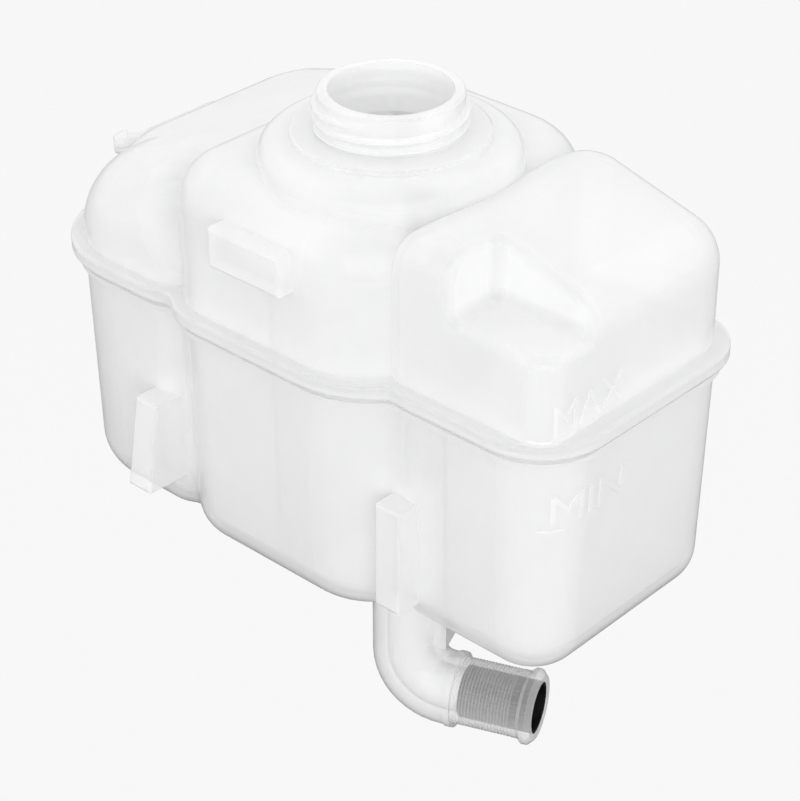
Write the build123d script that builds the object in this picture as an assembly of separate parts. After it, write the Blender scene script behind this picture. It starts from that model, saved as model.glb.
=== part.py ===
import math
import os

from build123d import *

os.makedirs("parts", exist_ok=True)

# Sizes are in millimetres and angles in degrees.
# The origin is the centre of the filler mouth and +Z runs up the neck.
# Shapes are drawn with the weld between the two shells at height 0, then lowered to that frame.

# Moulded walls
wall = 3.0
lower_draft = 1.3

# Left chamber at the weld, with a boxier rear half
left_x0 = -148.1
left_x1 = -60.1
left_near_y = -56.4
left_far_y = 97.6
left_end_radius = 40.0
left_valley_radius = 22.0
left_rear_y = -24.4
left_rear_radius = 28.0

# Middle chamber at the weld
mid_x0 = -71.6
mid_x1 = 49.9
mid_near_y = -62.4
mid_far_y = 81.6
mid_left_radius = 26.0
mid_right_radius = 38.0

# Right chamber at the weld
right_x0 = 30.4
right_x1 = 121.4
right_near_y = -47.4
right_far_y = 70.0
right_valley_radius = 24.0
right_front_radius = 25.0
right_far_radius = 22.0

# Chamber tops: height at a stated x, fall along the length, and rounded shoulders
left_top = 52.5
left_top_x = -73.1
left_fall = 16.0
left_shoulder = 36.0
left_rear_shoulder = 16.0
mid_top = 66.0
mid_shoulder = 21.0
right_top = 72.0
right_top_x = 45.9
right_fall = 15.0
right_wall_x0 = 36.5
right_wall_x1 = 119.4
right_left_shoulder = 22.0
right_end_shoulder = 21.0
right_near_round = 12.0
right_far_round = 21.0

# Lower shell, whose chambers run into each other over rounded valleys
valley_radius = 7.0
floor_depth = 113.5
floor_radius = 19.0

# Weld flange and the small bead under it
flange_width = 5.5
flange_half = 3.2
flange_round = 1.4
bead_width = 2.2
bead_drop = 7.6
bead_height = 2.4

# Filler platform and neck
platform_radius = 52.5
platform_top = 76.7
platform_flare = 2.0
platform_skirt = 18.0
platform_tuck = 8.0
platform_round = 10.0
foot_radius = 39.7
foot_height = 2.2
foot_round = 1.2
neck_radius = 29.0
neck_height = 18.3
mouth_radius = 24.7
lip_round = 1.2

# Corner notch in the right chamber
notch_x = 71.9
notch_y = -19.9
notch_floor = 39.0
notch_round = 5.0
notch_edge = 4.0

# Ledge on the near face of the middle chamber
ledge_x = -12.6
ledge_width = 38.0
ledge_top = 50.5
ledge_height = 17.0
ledge_proud = 8.0
ledge_round = 1.5

# Two guide rails on the lower shell
rail_top = -50.0
rail_width = 13.0
rail_round = 1.2
left_rail_x = -78.1
left_rail_y = -66.4
left_rail_length = 40.0
left_rail_lean = 7.0
right_rail_x = 49.4
right_rail_y = -56.4
right_rail_length = 48.0
right_rail_lean = 0.5

# Baffles inside, each with a window at the floor and one at the top
baffle_thickness = 2.5
mid_baffle_x = -9.1
right_baffle_x = 67.9
baffle_window = 30.0
baffle_window_y = 20.0
mid_baffle_top = 30.0

# Outlet elbow and hose spigot, measured from the elbow's corner
outlet_x = 38.9
outlet_y = -30.9
outlet_drop = 153.4
outlet_turn = 22.0
tube_radius = 15.6
tube_into_floor = 14.0
bend_inside = 1.5
collar_at = 19.5
collar_length = 3.0
collar_proud = 0.6
spigot_radius = 14.4
ring_count = 18
ring_pitch = 1.4
ring_depth = 0.4
bead_proud = 1.7
bead_length = 6.0
spigot_end = 57.0

# Small sump under the floor beside the outlet tube
sump_width = 22.0
sump_reach = 19.5
sump_drop = 13.0
sump_round = 2.0

# Sleeve pressed into the spigot
sleeve_radius = 11.1
sleeve_thickness = 1.6
sleeve_length = 32.0
sleeve_setback = 0.5

# Vent nipple on its cross gallery at the left end
gallery_x = -143.1
gallery_y0 = 3.6
gallery_y1 = 39.6
gallery_z = 24.5
gallery_radius = 6.0
vent_turn = 233.0
vent_reach = 17.5
vent_radius = 4.4
vent_barb_radius = 5.7
vent_barb_length = 6.0
vent_tip_radius = 3.7
vent_bore = 2.2

mouth_z = platform_top + neck_height


def outline(x0, x1, y0, y1, radii, inset):
    face = Pos((x0 + x1) / 2, (y0 + y1) / 2) * Rectangle(x1 - x0 - 2 * inset, y1 - y0 - 2 * inset)
    corners = [(x0, y0), (x1, y0), (x1, y1), (x0, y1)]
    for corner, radius in zip(corners, radii):
        vertex = face.vertices().sort_by_distance(Vector(corner[0], corner[1], 0))[0]
        face = fillet(vertex, radius - inset)
    return face


def left_outline(inset):
    radii = [left_end_radius, left_valley_radius, left_valley_radius, left_end_radius]
    return outline(left_x0, left_x1, left_near_y, left_far_y, radii, inset)


def left_rear_outline(inset):
    radii = [left_rear_radius, left_valley_radius, left_valley_radius, left_rear_radius]
    return outline(left_x0, left_x1, left_rear_y, left_far_y, radii, inset)


def mid_outline(inset):
    radii = [mid_left_radius, mid_right_radius, mid_right_radius, mid_left_radius]
    return outline(mid_x0, mid_x1, mid_near_y, mid_far_y, radii, inset)


def right_outline(inset):
    radii = [right_valley_radius, right_front_radius, right_far_radius, right_valley_radius]
    return outline(right_x0, right_x1, right_near_y, right_far_y, radii, inset)


def chamber(face, top, top_x, fall, shoulder, inset):
    block = extrude(face, amount=top * 1.6)
    up = Vector(math.tan(math.radians(fall)), 0, 1).normalized()
    lid = Plane(origin=(top_x, 0, top - inset), z_dir=up)
    block = split(block, bisect_by=lid, keep=Keep.BOTTOM)
    rim = block.faces().sort_by(Axis.Z)[-1].edges()
    return fillet(rim, shoulder - inset)


def right_chamber(inset):
    slope = math.tan(math.radians(right_fall))
    crest = right_top - inset / math.cos(math.radians(right_fall))
    x0 = right_wall_x0 + inset
    x1 = right_wall_x1 - inset
    left_top_z = crest - (x0 - right_top_x) * slope
    end_top_z = crest - (x1 - right_top_x) * slope
    side = make_face(Polyline((x0, 0), (x0, left_top_z), (x1, end_top_z), (x1, 0), close=True))
    for corner, radius in (((x0, left_top_z), right_left_shoulder), ((x1, end_top_z), right_end_shoulder)):
        vertex = side.vertices().sort_by_distance(Vector(corner[0], corner[1], 0))[0]
        side = fillet(vertex, radius - inset)
    rear = Plane(origin=(0, right_far_y - inset, 0), x_dir=(1, 0, 0), z_dir=(0, -1, 0))
    block = extrude(rear * side, amount=right_far_y - right_near_y - 2 * inset)
    for end, radius in ((0, right_near_round), (-1, right_far_round)):
        rim = block.faces().filter_by(Axis.Y).sort_by(Axis.Y)[end].edges()
        block = fillet([edge for edge in rim if edge.center().Z > wall], radius - inset)
    return block


def platform(inset):
    top = platform_top - inset
    low = platform_top - platform_skirt
    wide = platform_radius + platform_skirt * math.tan(math.radians(platform_flare)) - inset
    skirt = Pos(0, 0, low) * Cone(
        wide, platform_radius - inset, top - low, align=(Align.CENTER, Align.CENTER, Align.MIN)
    )
    skirt = fillet(skirt.edges().sort_by(Axis.Z)[-1], platform_round - inset)
    tuck = Pos(0, 0, low) * Cone(
        wide - platform_tuck, wide, platform_tuck, align=(Align.CENTER, Align.CENTER, Align.MAX)
    )
    return skirt + tuck


def notch(inset):
    reach = right_x1 - right_x0
    tool = Pos(notch_x - inset, notch_y + inset, notch_floor - inset) * Box(
        reach, reach, reach, align=(Align.MIN, Align.MAX, Align.MIN)
    )
    corner = tool.vertices().sort_by_distance(Vector(notch_x, notch_y, notch_floor))[0]
    inner = [edge for edge in tool.edges() if corner in edge.vertices()]
    return fillet(inner, notch_round + inset)


def upper_body(inset):
    # The left shoulder ends on the straight part of the front wall, just short of the rounded end
    lean = math.radians(left_fall)
    straight = left_x1 - left_x0 - left_end_radius
    room = 0.98 * straight * math.tan(math.pi / 4 - lean / 2) / math.cos(lean)
    shoulder = min(left_shoulder, room)
    left = chamber(left_outline(inset), left_top, left_top_x, -left_fall, shoulder, inset)
    rear = chamber(left_rear_outline(inset), left_top, left_top_x, -left_fall, left_rear_shoulder, inset)
    mid = chamber(mid_outline(inset), mid_top, 0, 0, mid_shoulder, inset)
    block = right_chamber(inset)
    tool = notch(inset)
    right = block - tool
    right = fillet(new_edges(block, tool, combined=right), notch_edge - inset)
    return left + rear + mid + right + platform(inset)


def joined_outline(inset):
    reach = valley_radius - inset
    face = left_outline(-reach) + mid_outline(-reach) + right_outline(-reach)
    return offset(face, amount=-valley_radius, kind=Kind.ARC)


def lower_body(inset):
    block = extrude(joined_outline(inset), amount=floor_depth - inset, taper=lower_draft)
    rim = block.faces().sort_by(Axis.Z)[-1].edges()
    return mirror(fillet(rim, floor_radius - inset), about=Plane.XY)


def belt(width, height):
    return extrude(joined_outline(-width), amount=height)


def gallery(radius):
    length = gallery_y1 - gallery_y0
    middle = Pos(gallery_x, (gallery_y0 + gallery_y1) / 2, gallery_z)
    tube = middle * Rot(90, 0, 0) * Cylinder(radius, length)
    ends = [Pos(gallery_x, y, gallery_z) * Sphere(radius) for y in (gallery_y0, gallery_y1)]
    return tube + ends


def turned(points):
    return revolve(Plane.XZ * make_face(Polyline(*points, close=True)), axis=Axis.X)


def vent(points):
    return Pos(gallery_x, gallery_y0, gallery_z) * Rot(0, 0, vent_turn) * turned(points)


def rail(x, y, length, lean, wall_y):
    foot = rail_top - length
    side = Polyline(
        (wall_y, rail_top), (y, rail_top), (y - lean, foot), (wall_y, foot), close=True
    )
    body = extrude(Plane.YZ.offset(x) * make_face(side), amount=rail_width / 2, both=True)
    front = body.faces().sort_by(Axis.Y)[0]
    return fillet(front.edges(), rail_round)


def baffle(x, inside, low, high, window_z):
    sheet = Pos(x, 0, low) * Box(
        baffle_thickness, left_far_y * 3, high - low, align=(Align.CENTER, Align.CENTER, Align.MIN)
    )
    window = Pos(x, baffle_window_y, window_z) * Rot(0, 90, 0) * Cylinder(baffle_window / 2, 2 * wall)
    return (sheet & inside) - window


def at_outlet(shape):
    return Pos(outlet_x, outlet_y, -outlet_drop) * Rot(0, 0, outlet_turn) * shape


def elbow(radius, top, end):
    path = FilletPolyline((0, 0, top), (0, 0, 0), (end, 0, 0), radius=tube_radius + bend_inside)
    return at_outlet(sweep(Pos(0, 0, top) * Circle(radius), path=path))


def sump(inset):
    foot = outlet_drop - floor_depth - sump_drop + inset
    box = Pos(0, 0, foot) * Box(
        sump_reach - inset, sump_width - 2 * inset, sump_drop + floor_radius,
        align=(Align.MIN, Align.CENTER, Align.MIN),
    )
    return at_outlet(fillet(box.faces().sort_by(Axis.Z)[0].edges(), sump_round))


# Outer form of the upper shell
rim = belt(flange_width, flange_half)
rim = fillet(rim.faces().sort_by(Axis.Z)[-1].edges(), flange_round)
upper = upper_body(0) + rim
upper = upper + gallery(gallery_radius)
barb_at = vent_reach - vent_barb_length
vent_outer = [
    (0, 0),
    (0, vent_radius),
    (barb_at, vent_radius),
    (barb_at, vent_barb_radius),
    (barb_at + vent_barb_length / 3, vent_barb_radius),
    (vent_reach, vent_tip_radius),
    (vent_reach, 0),
]
upper = upper + vent(vent_outer)
ledge = Pos(ledge_x, mid_near_y - ledge_proud, ledge_top) * Box(
    ledge_width, ledge_proud + wall, ledge_height, align=(Align.CENTER, Align.MIN, Align.MAX)
)
ledge = fillet(ledge.faces().sort_by(Axis.Y)[0].edges(), ledge_round)
upper = upper + ledge
foot = Pos(0, 0, platform_top) * Cylinder(
    foot_radius, foot_height, align=(Align.CENTER, Align.CENTER, Align.MIN)
)
foot = fillet(foot.edges().sort_by(Axis.Z)[-1], foot_round)
neck = Pos(0, 0, platform_top) * Cylinder(
    neck_radius, neck_height, align=(Align.CENTER, Align.CENTER, Align.MIN)
)
neck = fillet(neck.edges().sort_by(Axis.Z)[-1], lip_round)
upper = upper + foot + neck

# Hollows of the upper shell
upper_inside = upper_body(wall)
upper = upper - upper_inside - gallery(gallery_radius - wall)
upper = upper - vent([(0, 0), (0, vent_bore), (vent_reach, vent_bore), (vent_reach, 0)])
upper = upper - Pos(0, 0, mouth_z) * Cylinder(
    mouth_radius, neck_height + 2 * wall, align=(Align.CENTER, Align.CENTER, Align.MAX)
)
upper = upper + baffle(mid_baffle_x, upper_inside, 0, mid_baffle_top, mid_baffle_top)

# Outer form of the lower shell
lower = lower_body(0) + mirror(rim, about=Plane.XY)
bead = Pos(0, 0, -bead_drop - bead_height / 2) * belt(bead_width, bead_height)
lower = lower + bead
left_root = left_near_y + 3 * wall
right_root = right_near_y + 5 * wall
lower = lower + rail(left_rail_x, left_rail_y, left_rail_length, left_rail_lean, left_root)
lower = lower + rail(right_rail_x, right_rail_y, right_rail_length, right_rail_lean, right_root)
rise = outlet_drop - floor_depth + tube_into_floor
ring_start = collar_at + collar_length
lower = lower + elbow(tube_radius, rise, ring_start)
lower = lower + sump(0)
ring_points = []
for ring in range(ring_count):
    ring_points.append((ring_start + (ring + 0.5) * ring_pitch, spigot_radius - ring_depth))
    ring_points.append((ring_start + (ring + 1) * ring_pitch, spigot_radius))
spigot = [
    (collar_at, 0),
    (collar_at, tube_radius + collar_proud),
    (ring_start, tube_radius + collar_proud),
    (ring_start, spigot_radius),
    *ring_points,
    (spigot_end - bead_length, spigot_radius),
    (spigot_end - bead_length * 0.7, spigot_radius + bead_proud),
    (spigot_end - bead_length * 0.35, spigot_radius + bead_proud),
    (spigot_end, spigot_radius - ring_depth),
    (spigot_end, 0),
]
lower = lower + at_outlet(turned(spigot))

# Hollows of the lower shell
lower_inside = lower_body(wall)
lower = lower - lower_inside
for x in (mid_baffle_x, right_baffle_x):
    lower = lower + baffle(x, lower_inside, -floor_depth, 0, -floor_depth)
sleeve_bore = sleeve_radius - sleeve_thickness
sleeve_start = spigot_end - sleeve_setback - sleeve_length
lower = lower - elbow(sleeve_bore, rise + wall, spigot_end)
lower = lower - sump(wall)
pocket = [(sleeve_start, 0), (sleeve_start, sleeve_radius), (spigot_end, sleeve_radius), (spigot_end, 0)]
lower = lower - at_outlet(turned(pocket))

# Sleeve in the spigot
sleeve = [
    (sleeve_start, sleeve_bore),
    (sleeve_start, sleeve_radius),
    (sleeve_start + sleeve_length, sleeve_radius),
    (sleeve_start + sleeve_length, sleeve_bore),
]
sleeve = at_outlet(turned(sleeve))

for name, shape in (("upper_shell", upper), ("lower_shell", lower), ("spigot_sleeve", sleeve)):
    placed = Pos(0, 0, -mouth_z) * shape
    export_step(placed, "parts/" + name + ".step")
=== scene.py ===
import math

import bpy
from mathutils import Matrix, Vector


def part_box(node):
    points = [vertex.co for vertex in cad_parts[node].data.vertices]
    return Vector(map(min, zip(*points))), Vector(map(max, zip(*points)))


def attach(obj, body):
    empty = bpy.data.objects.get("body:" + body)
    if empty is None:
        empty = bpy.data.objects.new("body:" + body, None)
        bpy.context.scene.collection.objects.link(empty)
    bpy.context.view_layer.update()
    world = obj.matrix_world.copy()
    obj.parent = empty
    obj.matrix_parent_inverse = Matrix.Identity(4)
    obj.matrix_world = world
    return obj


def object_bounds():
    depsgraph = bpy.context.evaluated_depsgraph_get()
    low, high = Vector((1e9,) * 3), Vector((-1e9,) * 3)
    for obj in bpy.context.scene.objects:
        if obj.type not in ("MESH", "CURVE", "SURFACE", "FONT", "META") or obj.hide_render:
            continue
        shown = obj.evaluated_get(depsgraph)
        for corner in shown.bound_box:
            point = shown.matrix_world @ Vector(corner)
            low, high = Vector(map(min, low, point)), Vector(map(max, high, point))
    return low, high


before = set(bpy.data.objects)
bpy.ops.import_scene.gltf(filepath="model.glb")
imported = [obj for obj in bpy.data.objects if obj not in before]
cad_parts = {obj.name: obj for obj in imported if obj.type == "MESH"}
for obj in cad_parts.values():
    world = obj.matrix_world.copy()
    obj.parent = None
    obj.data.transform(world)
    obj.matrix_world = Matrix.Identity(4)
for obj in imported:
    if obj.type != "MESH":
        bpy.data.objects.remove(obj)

cad_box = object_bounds()

# Lengths are in metres and angles in degrees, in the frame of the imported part.
mm = 0.001

# Places taken from the frame: the weld plane and the lower shell's right end wall
weld_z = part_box("upper_shell")[0].z
flange_width = 5.5 * mm
lower_end_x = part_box("upper_shell")[1].x - flange_width

# Front corner of the right chamber, which carries the level marks
upper_setback = 2.0 * mm
upper_end_x = lower_end_x - upper_setback
front_wall_y = -47.4 * mm
upper_corner = 12.0 * mm
lower_corner = 25.0 * mm
lower_draft = 1.3

# Thread on the filler neck
thread_crest = 31.0 * mm
thread_root = 28.2 * mm
thread_foot_width = 2.6 * mm
thread_crest_width = 1.1 * mm
thread_rounding = 0.35 * mm
thread_rounding_steps = 3
thread_pitch = 4.3 * mm
thread_turns = 2.25
thread_start_z = -14.6 * mm
thread_start_angle = 200.0
thread_runout = 40.0
thread_steps_per_turn = 72
thread_crease = 40.0

# Level marks: arc lengths along the wall from the start of the flat end face, heights from the weld
mark_height = 12.7 * mm
mark_sunk = 0.3 * mm
mark_proud = 0.35 * mm
mark_strip = 0.8 * mm
mark_crease = 30.0
letter_curve_steps = 3
line_width = 0.9 * mm
max_left = -6.0 * mm
max_right = 34.0 * mm
max_base = 6.2 * mm
max_line_left = -15.6 * mm
max_line_right = -6.2 * mm
max_line_height = 4.2 * mm
min_left = -17.0 * mm
min_right = 22.0 * mm
min_base = -36.0 * mm
min_line_left = -22.0 * mm
min_line_right = -10.0 * mm
min_line_height = -39.0 * mm

# Points of a new piece that lie closer than this become one
merge_gap = 0.002 * mm

# Natural plastic: tones, gloss, and how dense it looks, from 0 for clear to 1 for solid
milky_tone = (0.96, 0.962, 0.964, 1)
clean_tone = (0.98, 0.98, 0.98, 1)
plastic_roughness = 0.14
ripple_roughness = 0.1
peel_share = 0.04
plastic_index = 1.5
thin_wall_density = 0.18
full_wall_density = 0.09
cloud_density = 0.06
slant_density = 0.64

# Middle of the spigot's black sleeve, whose black is painted shade, and the distances from it at
# which the plastic is thin, letting that painted shade show through, and full
sleeve_middle = (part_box("spigot_sleeve")[0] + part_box("spigot_sleeve")[1]) / 2
thin_wall_reach = 20.0 * mm
full_wall_reach = 26.0 * mm

# Black sleeve of the spigot: painted shade for its dark bore and the dark band on its rings
painted_shade_tone = (0.003, 0.003, 0.003, 1)
painted_shade_grain_tone = (0.009, 0.009, 0.009, 1)
sleeve_roughness = 0.5
grain_roughness = 0.2
sleeve_index = 1.25

# Camera: turned from the front and tilted down at its aim; the longer side of its image in pixels
camera_turn = 42.5
camera_tilt = 32.0
camera_distance = 1.0
camera_aim = Vector((0.0, 5.1 * mm, -143.8 * mm))
image_side = 801
focal_pixels = 2400
sensor = 36.0

# Surroundings: their brightness where they show, and as light on the tank
white = (1, 1, 1, 1)
backdrop_level = 0.94
ambient_level = 0.92

# Floor: its drop below the tank, the glow that it shows, and its tone near the tank and far off,
# where the dark tone near the tank is painted shade for the tank's undersides
floor_drop = 0.10
floor_size = 12.0
floor_glow = 1.004
floor_glow_drop = 0.036
floor_glow_share = 0.93
painted_shade_reach = 0.15
pale_floor_reach = 0.7
painted_shade_floor_tone = (0.03, 0.03, 0.03, 1)
pale_floor_tone = (0.45, 0.45, 0.45, 1)

# Softboxes: directions from the camera's aim, widths and heights, and powers in watts
lamp_distance = 1.2
left_lamp_direction = (-0.573, -0.2, 0.75)
right_lamp_direction = (0.25, 0.6, 0.75)
side_lamp_size = (0.9, 0.7)
side_lamp_power = 0.8
front_lamp_direction = (0.676, -0.737, 0.2)
front_lamp_size = (1.4, 1.0)
front_lamp_power = 9.0

# How far light is followed between walls and through them
light_bounces = 12
wall_bounces = 6
see_through_layers = 16


class Value:
    """One socket of a node tree. Sums and products of values add Math nodes."""

    def __init__(self, graph, socket):
        self.graph = graph
        self.socket = socket

    def __add__(self, other):
        return self.graph.math("ADD", self, other)

    def __radd__(self, other):
        return self.graph.math("ADD", other, self)

    def __sub__(self, other):
        return self.graph.math("SUBTRACT", self, other)

    def __rsub__(self, other):
        return self.graph.math("SUBTRACT", other, self)

    def __mul__(self, other):
        return self.graph.math("MULTIPLY", self, other)

    def __rmul__(self, other):
        return self.graph.math("MULTIPLY", other, self)


class Graph:
    """The nodes of one material or of the world."""

    def __init__(self, tree):
        self.tree = tree
        tree.nodes.clear()

    def node(self, kind, settings, inputs, output):
        """Adds a node, sets it, links or fills its inputs and gives back one of its outputs."""
        made = self.tree.nodes.new(kind)
        for name, setting in settings.items():
            setattr(made, name, setting)
        for name, value in inputs.items():
            if isinstance(value, Value):
                self.tree.links.new(value.socket, made.inputs[name])
            else:
                made.inputs[name].default_value = value
        return Value(self, made.outputs[output]) if output is not None else None

    def math(self, operation, first, second):
        return self.node("ShaderNodeMath", {"operation": operation}, {0: first, 1: second}, 0)

    def place(self):
        return self.node("ShaderNodeTexCoord", {}, {}, "Object")

    def choose(self, flag, chosen, other):
        return other + flag * (chosen - other)

    def ray(self, kind):
        return self.node("ShaderNodeLightPath", {}, {}, "Is " + kind + " Ray")

    def shows_backdrop(self):
        """One where the background is seen directly, in a gloss or through something clear."""
        mirrored = self.math("MAXIMUM", self.ray("Glossy"), self.ray("Transmission"))
        return self.math("MAXIMUM", self.ray("Camera"), mirrored)

    def noise(self, place, scale, detail, roughness):
        inputs = {"Vector": place, "Scale": scale, "Detail": detail, "Roughness": roughness}
        return self.node("ShaderNodeTexNoise", {}, inputs, "Fac")

    def blend(self, amount, first, second):
        """Mixes two colours, which are a Mix node's inputs 6 and 7 and its output 2."""
        inputs = {"Factor": amount, 6: first, 7: second}
        return self.node("ShaderNodeMix", {"data_type": "RGBA"}, inputs, 2)

    def vector(self, operation, first, second, output):
        inputs = {0: first, 1: second}
        return self.node("ShaderNodeVectorMath", {"operation": operation}, inputs, output)

    def spread(self, value, low, high):
        """Zero up to the low value, one from the high value on, and smooth between."""
        settings = {"interpolation_type": "SMOOTHSTEP"}
        inputs = {"Value": value, "From Min": low, "From Max": high}
        return self.node("ShaderNodeMapRange", settings, inputs, "Result")

    def bump(self, height, strength, depth):
        inputs = {"Height": height, "Strength": strength, "Distance": depth}
        return self.node("ShaderNodeBump", {}, inputs, "Normal")


def new_material(name):
    material = bpy.data.materials.new(name)
    material.use_nodes = True
    return material, Graph(material.node_tree)


def natural_plastic():
    """Milky see-through plastic, denser where it is seen along its surface.

    Its colour is cloudy, its satin gloss uneven and its surface faintly rippled by the mould.
    """
    material, graph = new_material("natural_plastic")
    place = graph.place()
    clouds = graph.noise(place, scale=22.0, detail=3.0, roughness=0.55)
    ripple = graph.noise(place, scale=40.0, detail=2.0, roughness=0.5)
    peel = graph.noise(place, scale=900.0, detail=2.0, roughness=0.5)
    slant = graph.node("ShaderNodeLayerWeight", {}, {"Blend": 0.5}, "Facing")
    away = graph.vector("DISTANCE", place, sleeve_middle, "Value")
    full = graph.spread(away, thin_wall_reach, full_wall_reach)
    wall_density = thin_wall_density + full_wall_density * full
    inputs = {
        "Base Color": graph.blend(clouds, milky_tone, clean_tone),
        "Roughness": plastic_roughness + ripple_roughness * ripple,
        "Normal": graph.bump(ripple + peel_share * peel, strength=0.3, depth=0.4 * mm),
        "Alpha": wall_density + cloud_density * clouds + slant_density * slant,
        "IOR": plastic_index,
    }
    surface = graph.node("ShaderNodeBsdfPrincipled", {}, inputs, "BSDF")
    graph.node("ShaderNodeOutputMaterial", {}, {"Surface": surface}, None)
    return material


def dark_sleeve():
    """Black sleeve with a fine grain, painted shade for the spigot's dark bore and the dark band on
    its rings.
    """
    material, graph = new_material("dark_sleeve")
    grain = graph.noise(graph.place(), scale=400.0, detail=2.0, roughness=0.6)
    inputs = {
        "Base Color": graph.blend(grain, painted_shade_tone, painted_shade_grain_tone),
        "Roughness": sleeve_roughness + grain_roughness * grain,
        "Normal": graph.bump(grain, strength=0.2, depth=0.1 * mm),
        "IOR": sleeve_index,
    }
    surface = graph.node("ShaderNodeBsdfPrincipled", {}, inputs, "BSDF")
    graph.node("ShaderNodeOutputMaterial", {}, {"Surface": surface}, None)
    return material


def pale_floor():
    """Floor that shows as pale as the background, with a soft shadow on it.

    In a gloss and in the light that it throws back it is dark under the tank, painted shade that
    darkens the tank's undersides, and pale farther out.
    """
    material, graph = new_material("pale_floor")
    reach = graph.vector("DISTANCE", graph.place(), (0, 0, 0), "Value")
    # Painted shade: the floor is dark near the tank so that the tank's undersides come out darker
    far = graph.spread(reach, painted_shade_reach, pale_floor_reach)
    colour = graph.blend(far, painted_shade_floor_tone, pale_floor_tone)
    lit = graph.node("ShaderNodeBsdfDiffuse", {}, {"Color": colour}, "BSDF")
    inputs = {"Color": white, "Strength": floor_glow - floor_glow_drop * far}
    glow = graph.node("ShaderNodeEmission", {}, inputs, "Emission")
    seen = graph.math("MAXIMUM", graph.ray("Camera"), graph.ray("Transmission"))
    inputs = {0: floor_glow_share * seen, 1: lit, 2: glow}
    surface = graph.node("ShaderNodeMixShader", {}, inputs, "Shader")
    graph.node("ShaderNodeOutputMaterial", {}, {"Surface": surface}, None)
    return material


def clear_selection():
    if bpy.context.object and bpy.context.object.mode != "OBJECT":
        bpy.ops.object.mode_set(mode="OBJECT")
    bpy.ops.object.select_all(action="DESELECT")


def apply_modifier(piece, kind, settings):
    modifier = piece.modifiers.new(kind, kind)
    for name, setting in settings.items():
        setattr(modifier, name, setting)
    bpy.ops.object.modifier_apply(modifier=modifier.name)


def close_and_face_out():
    """Merges doubles, fills open ends and turns every face outwards."""
    bpy.ops.object.mode_set(mode="EDIT")
    bpy.ops.mesh.select_all(action="SELECT")
    bpy.ops.mesh.remove_doubles(threshold=merge_gap)
    bpy.ops.mesh.fill_holes(sides=0)
    bpy.ops.mesh.select_all(action="SELECT")
    bpy.ops.mesh.normals_make_consistent(inside=False)
    bpy.ops.object.mode_set(mode="OBJECT")


def carry(piece, name, material):
    """Names a moulded detail, gives it the shells' plastic and lets it ride with them."""
    piece.name = name
    piece.data.name = name
    piece.data.materials.clear()
    piece.data.materials.append(material)
    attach(piece, "root")


def neck_thread(material):
    """Coarse ridge wound round the filler neck, run out into the wall at both ends."""
    clear_selection()
    bpy.ops.mesh.primitive_plane_add(size=1, rotation=(math.radians(90), 0, 0))
    piece = bpy.context.object
    bpy.ops.object.transform_apply(location=True, rotation=True, scale=True)
    for corner in piece.data.vertices:
        outside = corner.co.x > 0
        half = (thread_crest_width if outside else thread_foot_width) / 2
        corner.co.z = math.copysign(half, corner.co.z)
        corner.co.x = thread_crest if outside else thread_root
    bpy.ops.object.mode_set(mode="EDIT")
    bpy.ops.mesh.select_all(action="SELECT")
    bpy.ops.mesh.bevel(
        offset=thread_rounding, segments=thread_rounding_steps, affect="VERTICES"
    )
    bpy.ops.mesh.select_all(action="SELECT")
    bpy.ops.mesh.delete(type="ONLY_FACE")
    bpy.ops.object.mode_set(mode="OBJECT")
    section = len(piece.data.vertices)
    steps = round(thread_turns * thread_steps_per_turn)
    whole_turn = 360 * thread_turns
    winding = {
        "angle": math.radians(whole_turn),
        "screw_offset": thread_pitch * thread_turns,
        "steps": steps,
        "render_steps": steps,
        "axis": "Z",
        "use_merge_vertices": False,
        "use_smooth_shade": True,
    }
    apply_modifier(piece, "SCREW", winding)
    for index, point in enumerate(piece.data.vertices):
        along = whole_turn * (index // section) / steps
        sunk = 1 - min(1, along / thread_runout, (whole_turn - along) / thread_runout)
        reach = Vector((point.co.x, point.co.y)).length
        scale = (reach - sunk * (thread_crest - thread_root)) / reach
        point.co.x *= scale
        point.co.y *= scale
    bpy.ops.object.mode_set(mode="EDIT")
    bpy.ops.mesh.select_all(action="SELECT")
    # With no window the rotate operator turns the other way
    bpy.ops.transform.rotate(
        value=math.radians(-thread_start_angle), orient_axis="Z", center_override=(0, 0, 0)
    )
    bpy.ops.transform.translate(value=(0, 0, thread_start_z))
    bpy.ops.object.mode_set(mode="OBJECT")
    close_and_face_out()
    bpy.ops.object.shade_smooth_by_angle(angle=math.radians(thread_crease))
    carry(piece, "neck_thread", material)


def on_end_wall(along, height, proud):
    """Point on the right chamber's end wall, or round its front corner where along is negative."""
    upper = height > 0
    end_x = upper_end_x if upper else lower_end_x
    radius = upper_corner if upper else lower_corner
    inset = 0 if upper else -height * math.tan(math.radians(lower_draft))
    angle = min(0, along) / radius
    reach = radius - inset + proud
    x = end_x - radius + reach * math.cos(angle)
    y = front_wall_y + radius + reach * math.sin(angle) + max(0, along)
    return Vector((x, y, weld_z + height))


def lay_on_wall(piece, left, right):
    """Cuts a flat mark into narrow strips and wraps it round the wall.

    The flat mark's X runs along the wall, its Y up and its Z out.
    """
    bpy.ops.object.mode_set(mode="EDIT")
    for strip in range(1, math.ceil((right - left) / mark_strip)):
        bpy.ops.mesh.select_all(action="SELECT")
        bpy.ops.mesh.bisect(plane_co=(left + strip * mark_strip, 0, 0), plane_no=(1, 0, 0))
    bpy.ops.object.mode_set(mode="OBJECT")
    for point in piece.data.vertices:
        point.co = on_end_wall(point.co.x, point.co.y, point.co.z)
    close_and_face_out()
    bpy.ops.object.shade_smooth_by_angle(angle=math.radians(mark_crease))


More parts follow.
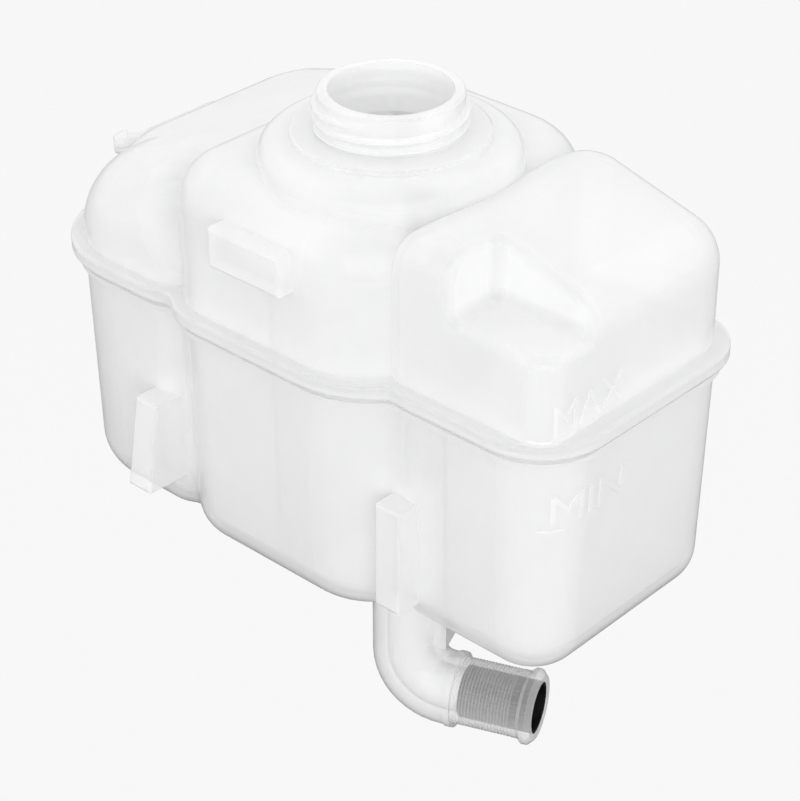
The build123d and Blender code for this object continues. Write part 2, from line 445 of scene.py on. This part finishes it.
def level_word(word, left, right, base, name, material):
    """Raised level word, stretched to its width and height on the wall."""
    clear_selection()
    bpy.ops.object.text_add()
    piece = bpy.context.object
    piece.data.body = word
    piece.data.extrude = (mark_sunk + mark_proud) / 2
    piece.data.resolution_u = letter_curve_steps
    bpy.ops.object.convert(target="MESH")
    piece = bpy.context.object
    low_x = min(point.co.x for point in piece.data.vertices)
    high_x = max(point.co.x for point in piece.data.vertices)
    low_y = min(point.co.y for point in piece.data.vertices)
    high_y = max(point.co.y for point in piece.data.vertices)
    for point in piece.data.vertices:
        point.co.x = left + (point.co.x - low_x) / (high_x - low_x) * (right - left)
        point.co.y = base + (point.co.y - low_y) / (high_y - low_y) * mark_height
        point.co.z += (mark_proud - mark_sunk) / 2
    lay_on_wall(piece, left, right)
    carry(piece, name, material)


def level_line(left, right, height, name, material):
    """Raised level line under a word."""
    clear_selection()
    bpy.ops.mesh.primitive_cube_add(size=1)
    piece = bpy.context.object
    for point in piece.data.vertices:
        point.co.x = right if point.co.x > 0 else left
        point.co.y = height + math.copysign(line_width / 2, point.co.y)
        point.co.z = mark_proud if point.co.z > 0 else -mark_sunk
    lay_on_wall(piece, left, right)
    carry(piece, name, material)


def stage():
    """Floor and surroundings that show as one pale tone."""
    clear_selection()
    floor_z = cad_box[0].z - floor_drop
    bpy.ops.mesh.primitive_plane_add(size=floor_size, location=(0, 0, floor_z))
    floor = bpy.context.object
    floor.name = "floor"
    floor.data.materials.append(pale_floor())
    world = bpy.data.worlds.new("studio")
    bpy.context.scene.world = world
    world.use_nodes = True
    graph = Graph(world.node_tree)
    level = graph.choose(graph.shows_backdrop(), backdrop_level, ambient_level)
    inputs = {"Color": white, "Strength": level}
    surface = graph.node("ShaderNodeBackground", {}, inputs, "Background")
    graph.node("ShaderNodeOutputWorld", {}, {"Surface": surface}, None)


def softbox(name, direction, size, power):
    """Large oblong lamp that looks at the camera's aim from a given direction."""
    lamp = bpy.data.lights.new(name, "AREA")
    lamp.shape = "RECTANGLE"
    lamp.size, lamp.size_y = size
    lamp.energy = power
    holder = bpy.data.objects.new(name, lamp)
    bpy.context.scene.collection.objects.link(holder)
    holder.location = camera_aim + Vector(direction).normalized() * lamp_distance
    holder.rotation_euler = Vector(direction).to_track_quat("Z", "Y").to_euler()


def camera():
    """Camera that looks down at the tank from its front right."""
    turn = math.radians(camera_turn)
    tilt = math.radians(camera_tilt)
    back = Vector(
        (math.sin(turn) * math.cos(tilt), -math.cos(turn) * math.cos(tilt), math.sin(tilt))
    )
    lens = bpy.data.cameras.new("camera")
    lens.sensor_width = sensor
    lens.lens = sensor * focal_pixels / image_side
    holder = bpy.data.objects.new("camera", lens)
    bpy.context.scene.collection.objects.link(holder)
    holder.location = camera_aim + back * camera_distance
    holder.rotation_euler = back.to_track_quat("Z", "Y").to_euler()
    bpy.context.scene.camera = holder


plastic = natural_plastic()
# The spigot sleeve's black finish is painted shade for the dark bore and the dark band on its rings
finishes = {"upper_shell": plastic, "lower_shell": plastic, "spigot_sleeve": dark_sleeve()}
for node, finish in finishes.items():
    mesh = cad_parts[node].data
    mesh.materials.clear()
    mesh.materials.append(finish)

neck_thread(plastic)
level_word("MAX", max_left, max_right, max_base, "max_mark", plastic)
level_word("MIN", min_left, min_right, min_base, "min_mark", plastic)
level_line(max_line_left, max_line_right, max_line_height, "max_line", plastic)
level_line(min_line_left, min_line_right, min_line_height, "min_line", plastic)

stage()
softbox("left_softbox", left_lamp_direction, side_lamp_size, side_lamp_power)
softbox("right_softbox", right_lamp_direction, side_lamp_size, side_lamp_power)
softbox("front_fill", front_lamp_direction, front_lamp_size, front_lamp_power)
camera()
bpy.context.scene.view_settings.view_transform = "Standard"
bpy.context.scene.cycles.max_bounces = light_bounces
bpy.context.scene.cycles.diffuse_bounces = wall_bounces
bpy.context.scene.cycles.transparent_max_bounces = see_through_layers
